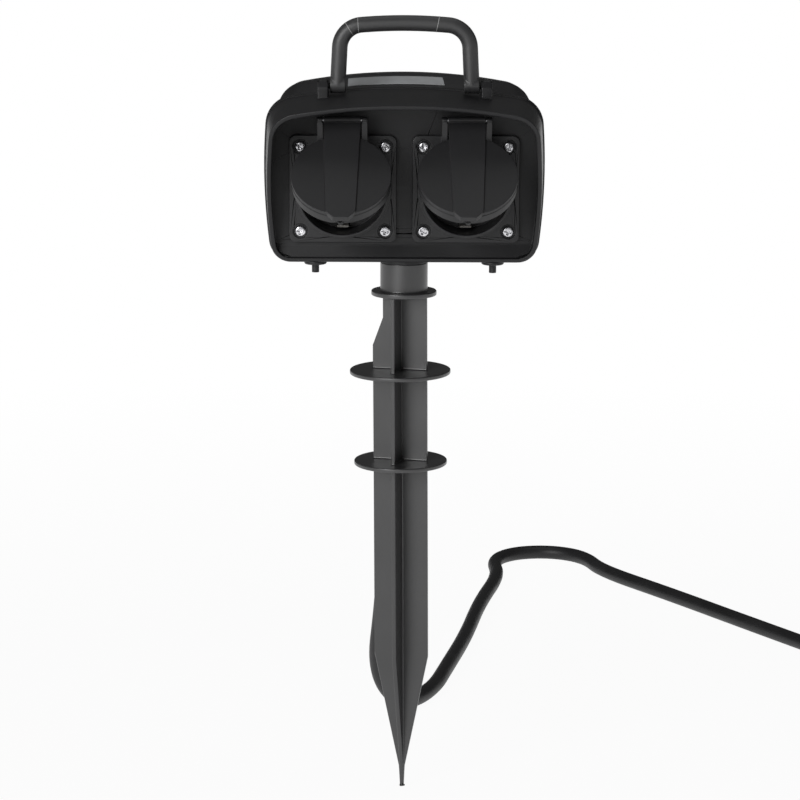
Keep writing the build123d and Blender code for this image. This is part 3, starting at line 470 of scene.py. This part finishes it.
# Socket flanges, inserts and lids: one set on each side. The flange is a square plate with a round
# collar and hinge ears, the insert holds the well, and the sprung lid has a raised band and a lip.
socket_edge = 0.0003
lid_edge = 0.00035
drain_edge = 0.0002
socket_plastic = plastic(
    "socket_plastic", (0.008, 0.008, 0.009), (0.014, 0.014, 0.015), 0.34, 0.48, 2600, 0.6, 0.5
)
lid_plastic = plastic("lid_plastic", (0.014, 0.014, 0.015), (0.017, 0.017, 0.018), 0.46, 0.56, 2600, 0.6, 0.5)
for side in ("left", "right"):
    moulding(f"socket_flange_{side}", f"flange_{side}", "head", socket_plastic, socket_edge)
    moulding(f"socket_insert_{side}", f"well_{side}", "head", socket_plastic, socket_edge)
    moulding(f"socket_lid_{side}", f"lid_{side}", f"{side}_lid", lid_plastic, lid_edge)
    moulding(f"drain_spout_{side}", f"drain_{side}", "head", head_plastic, drain_edge)


def metal(name, colour, dull, smooth, rough, scratches):
    """Bare or plated metal with a slightly uneven polish and fine marks."""
    material, tree, shader, place = shader_with_coordinates(name)
    cloud = noise(tree, place, 300, 4)
    tone = ranged(tree, cloud, "Fac", 0, 1)
    tree.links.new(mixed(tree, tone.outputs["Result"], colour, dull), shader.inputs["Base Color"])
    marks = noise(tree, place, scratches, 3, (1, 1, 0.1))
    link(tree, ranged(tree, marks, "Fac", smooth, rough), "Result", shader, "Roughness")
    bump(tree, shader, [(marks, "Fac", 0.00001)])
    shader.inputs["Metallic"].default_value = 1.0
    return material


# Flange screws: pan heads with a cross recess, plated steel, four in each flange.
# Each stops at its own angle.
zinc_steel = metal("zinc_steel", (0.78, 0.78, 0.80), (0.60, 0.60, 0.62), 0.18, 0.34, 2500)
screw_head = 0.0026
screw_rise = 0.0015
shank_radius = 0.0012
screw_length = 0.007
recess_reach = 0.0016
recess_half = 0.00036
recess_depth = 0.0009
screw_pitch = 0.038
screw_edge = 0.00006
screw_crease = math.radians(40)
first_seed = 3
facets = 28


def ring(body, radius, height):
    """A level ring of vertices."""
    turn = math.tau / facets
    return [
        body.verts.new((radius * math.cos(turn * i), radius * math.sin(turn * i), height))
        for i in range(facets)
    ]


def wall(body, lower, upper):
    """Faces between two rings with as many vertices."""
    for i in range(len(lower)):
        j = (i + 1) % len(lower)
        body.faces.new((lower[i], lower[j], upper[j], upper[i]))


screw_mesh = bpy.data.meshes.new("screw")
body = bmesh.new()
profile = [
    (shank_radius, -screw_length),
    (shank_radius, 0),
    (screw_head, 0),
    (screw_head, screw_rise * 0.28),
    (screw_head * 0.97, screw_rise * 0.5),
    (screw_head * 0.88, screw_rise * 0.76),
    (screw_head * 0.76, screw_rise * 0.92),
    (screw_head * 0.66, screw_rise),
]
rings = [ring(body, radius, height) for radius, height in profile]
body.faces.new(list(reversed(rings[0])))
for lower, upper in zip(rings, rings[1:]):
    wall(body, lower, upper)
corners = []
for quarter in range(4):
    turn = Matrix.Rotation(quarter * math.pi / 2, 3, "Z")
    for x, y in ((recess_reach, -recess_half), (recess_reach, recess_half), (recess_half, recess_half)):
        corners.append(turn @ Vector((x, y, screw_rise)))
mouth = [body.verts.new(corner) for corner in corners]
foot = [body.verts.new((c.x * 0.62, c.y * 0.8, screw_rise - recess_depth)) for c in corners]
wall(body, foot, mouth)
body.faces.new(foot)
body.edges.ensure_lookup_table()
rim = [body.edges.get((a, b)) for a, b in zip(rings[-1], rings[-1][1:] + rings[-1][:1])]
rim += [body.edges.get((a, b)) for a, b in zip(mouth, mouth[1:] + mouth[:1])]
bmesh.ops.triangle_fill(body, edges=rim, use_beauty=True)
bmesh.ops.recalc_face_normals(body, faces=body.faces)
body.to_mesh(screw_mesh)
body.free()
screw = bpy.data.objects.new("screw", screw_mesh)
scene.collection.objects.link(screw)


def new_tree(name, sizes):
    """A Geometry Nodes tree with named inputs for its sizes."""
    tree = bpy.data.node_groups.new(name, "GeometryNodeTree")
    for label, kind in sizes.items():
        tree.interface.new_socket(label, in_out="INPUT", socket_type=kind)
    tree.interface.new_socket("Geometry", in_out="OUTPUT", socket_type="NodeSocketGeometry")
    return tree, tree.nodes.new("NodeGroupInput"), tree.nodes.new("NodeGroupOutput")


def grown(tree, name, values):
    """What a Geometry Nodes tree makes with these values, as a plain mesh object."""
    seed_object = bpy.data.objects.new(f"{name}_seed", bpy.data.meshes.new(f"{name}_seed"))
    scene.collection.objects.link(seed_object)
    grower = seed_object.modifiers.new("grower", "NODES")
    grower.node_group = tree
    for socket in tree.interface.items_tree:
        if socket.in_out == "INPUT" and socket.name in values:
            grower[socket.identifier] = values[socket.name]
    bpy.context.view_layer.update()
    return plain_mesh(seed_object, name)


tree, sizes_in, result = new_tree(
    "screw_square",
    {
        "Screw": "NodeSocketObject",
        "Pitch": "NodeSocketFloat",
        "Centre": "NodeSocketVector",
        "Seed": "NodeSocketInt",
        "Metal": "NodeSocketMaterial",
    },
)
square = tree.nodes.new("GeometryNodeMeshGrid")
square.inputs["Vertices X"].default_value = 2
square.inputs["Vertices Y"].default_value = 2
link(tree, sizes_in, "Pitch", square, "Size X")
link(tree, sizes_in, "Pitch", square, "Size Y")
one_screw = tree.nodes.new("GeometryNodeObjectInfo")
link(tree, sizes_in, "Screw", one_screw, "Object")
chance = tree.nodes.new("FunctionNodeRandomValue")
chance.data_type = "FLOAT"
link(tree, sizes_in, "Seed", chance, "Seed")
quarter_turn = tree.nodes.new("ShaderNodeMath")
quarter_turn.operation = "MULTIPLY"
quarter_turn.inputs[1].default_value = math.pi / 2
chance_value = [socket for socket in chance.outputs if socket.type == "VALUE"][0]
tree.links.new(chance_value, quarter_turn.inputs[0])
turned = tree.nodes.new("ShaderNodeCombineXYZ")
link(tree, quarter_turn, 0, turned, "Z")
placed = tree.nodes.new("GeometryNodeInstanceOnPoints")
link(tree, square, "Mesh", placed, "Points")
link(tree, one_screw, "Geometry", placed, "Instance")
link(tree, turned, "Vector", placed, "Rotation")
upright = tree.nodes.new("GeometryNodeTransform")
upright.inputs["Rotation"].default_value = (math.pi / 2, 0, 0)
link(tree, placed, "Instances", upright, "Geometry")
link(tree, sizes_in, "Centre", upright, "Translation")
real = tree.nodes.new("GeometryNodeRealizeInstances")
link(tree, upright, "Geometry", real, "Geometry")
finish = tree.nodes.new("GeometryNodeSetMaterial")
link(tree, real, "Geometry", finish, "Geometry")
link(tree, sizes_in, "Metal", finish, "Material")
link(tree, finish, "Geometry", result, "Geometry")
screw_tree = tree
for seed, side in enumerate(("left", "right"), first_seed):
    low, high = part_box(f"flange_screws_{side}")
    centre = (low + high) / 2
    piece = grown(
        screw_tree,
        f"pan_screws_{side}",
        {
            "Screw": screw,
            "Pitch": screw_pitch,
            "Centre": (centre.x, low.y + screw_rise, centre.z),
            "Seed": seed,
            "Metal": zinc_steel,
        },
    )
    rounding = piece.modifiers.new("rounding", "BEVEL")
    rounding.width = screw_edge
    rounding.segments = 2
    rounding.limit_method = "ANGLE"
    rounding.angle_limit = screw_crease
    piece = plain_mesh(piece, f"pan_screws_{side}")
    for face in piece.data.polygons:
        face.use_smooth = True
    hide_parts(f"flange_screws_{side}")
    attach(piece, "head")
bpy.data.objects.remove(screw)

# Hinge pins and lid springs: plain steel, held in the flange's ears and hidden in the lid's knuckle.
for side in ("left", "right"):
    for node in (f"hinge_pin_{side}", f"lid_spring_{side}"):
        nodes[node].data.materials.clear()
        nodes[node].data.materials.append(zinc_steel)

# Seals and gaskets: black rubber sheet, die cut. They lie behind the flanges, between the shells
# and on the lids' inner faces.
gasket_rubber = rubber("gasket_rubber", (0.009, 0.009, 0.009), (0.016, 0.016, 0.016), 3000)
for node in (
    "housing_gasket",
    "flange_gasket_left",
    "flange_gasket_right",
    "lid_seal_left",
    "lid_seal_right",
):
    nodes[node].data.materials.clear()
    nodes[node].data.materials.append(gasket_rubber)

# Contacts, clips and screws inside the head: brass sleeves and sprung steel straps.
# The clamp and its screws hold the cord's end.
contact_brass = metal("contact_brass", (0.72, 0.62, 0.40), (0.58, 0.48, 0.28), 0.22, 0.38, 1800)
clip_steel = metal("clip_steel", (0.30, 0.29, 0.27), (0.22, 0.21, 0.20), 0.40, 0.55, 1500)
inside_metals = {
    "pin_contacts_left": contact_brass,
    "pin_contacts_right": contact_brass,
    "earth_clips_left": clip_steel,
    "earth_clips_right": clip_steel,
    "clamp_screws": zinc_steel,
    "shell_screws": zinc_steel,
}
for node, material in inside_metals.items():
    nodes[node].data.materials.clear()
    nodes[node].data.materials.append(material)

# Wires and clamp: three insulated wires to each socket, and the plastic saddle on the cord's end.
insulation = {
    "live_wires": plastic("live_insulation", (0.13, 0.05, 0.02), (0.17, 0.07, 0.03), 0.3, 0.4, 3000, 0.2),
    "neutral_wires": plastic(
        "neutral_insulation", (0.01, 0.07, 0.26), (0.02, 0.10, 0.32), 0.3, 0.4, 3000, 0.2
    ),
    "earth_wires": plastic("earth_insulation", (0.20, 0.36, 0.03), (0.27, 0.45, 0.05), 0.3, 0.4, 3000, 0.2),
    "cord_clamp": socket_plastic,
    "cord_inner_end": cord_rubber,
}
for node, material in insulation.items():
    nodes[node].data.materials.clear()
    nodes[node].data.materials.append(material)

# Cable gland: a moulded body through the head's floor with a six-sided nut.
gland_edge = 0.0006
moulding("cable_gland", "gland_nut", "head", head_plastic, gland_edge)

# Strain reliefs: tapered rubber sleeves with rings, one below the gland and one for the plug.
# The rings let the cord bend in an even curve.
sleeve_rubber = rubber("sleeve_rubber", (0.010, 0.010, 0.010), (0.018, 0.018, 0.018), 2800)
relief_rings = 7
steps_per_ring = 6
sleeve_facets = 40
groove_depth = 0.0009
plain_share = 0.02
relief_foot = 0.0049
head_relief_top = 0.0064
plug_relief_top = 0.0068
relief_length = 0.0207
plug_relief_length = 0.026


def ringed_sleeve(length, foot_radius, top_radius):
    """A tapered sleeve along +Z from its thin foot, with grooves between its rings."""
    mesh = bpy.data.meshes.new("sleeve")
    body = bmesh.new()
    steps = relief_rings * steps_per_ring
    layers = []
    for step in range(steps + 1):
        share_up = step / steps
        outer = foot_radius + (top_radius - foot_radius) * share_up
        swell = groove_depth * (0.5 - 0.5 * math.cos(math.tau * share_up * relief_rings)) ** 0.5
        radius = outer - (groove_depth - swell) * (plain_share < share_up < 1 - plain_share)
        layers.append(
            [
                body.verts.new(
                    (
                        radius * math.cos(math.tau * i / sleeve_facets),
                        radius * math.sin(math.tau * i / sleeve_facets),
                        length * share_up,
                    )
                )
                for i in range(sleeve_facets)
            ]
        )
    bore_foot = []
    bore_top = []
    for i in range(sleeve_facets):
        x = cord_radius * math.cos(math.tau * i / sleeve_facets)
        y = cord_radius * math.sin(math.tau * i / sleeve_facets)
        bore_foot.append(body.verts.new((x, y, 0)))
        bore_top.append(body.verts.new((x, y, length)))
    for lower, upper in zip(layers, layers[1:]):
        wall(body, lower, upper)
    wall(body, bore_foot, layers[0])
    wall(body, layers[-1], bore_top)
    wall(body, bore_top, bore_foot)
    bmesh.ops.recalc_face_normals(body, faces=body.faces)
    body.to_mesh(mesh)
    body.free()
    for face in mesh.polygons:
        face.use_smooth = True
    return mesh


gland_relief_mesh = ringed_sleeve(relief_length, relief_foot, head_relief_top)
gland_relief_mesh.transform(Matrix.Translation(route[0]))
gland_relief = bpy.data.objects.new("gland_relief", gland_relief_mesh)
scene.collection.objects.link(gland_relief)
gland_relief_mesh.materials.append(sleeve_rubber)
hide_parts("strain_relief")
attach(gland_relief, "head")

# Plug: moulded rubber body with a round front, two nickel-plated pins and steel earth strips.
# It lies on its side beside the coil. A known fault: way is by then the last flash line's and not
# the lead's, so the plug's sleeve is turned away and lies about 20 mm off the plug's end.
plug_edge = 0.0006
plug_tail = line[-1]
along_plug = Matrix.Translation(plug_tail) @ way.to_track_quat("Z", "Y").to_matrix().to_4x4()
plug_relief_mesh = ringed_sleeve(plug_relief_length, relief_foot, plug_relief_top)
plug_relief_mesh.transform(along_plug)
plug_relief = bpy.data.objects.new("plug_sleeve", plug_relief_mesh)
scene.collection.objects.link(plug_relief)
plug_relief_mesh.materials.append(sleeve_rubber)
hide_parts("plug_relief")
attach(plug_relief, "head")
plug_shell = moulding("plug_body", "plug_shell", "head", sleeve_rubber, plug_edge)
nickel = metal("nickel", (0.74, 0.71, 0.62), (0.62, 0.58, 0.48), 0.16, 0.30, 2200)
for node, material in (("plug_pins", nickel), ("plug_earth_strips", zinc_steel)):
    nodes[node].data.materials.clear()
    nodes[node].data.materials.append(material)
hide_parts("mains_cord", "cord_coil")
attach(mains_lead, "head")
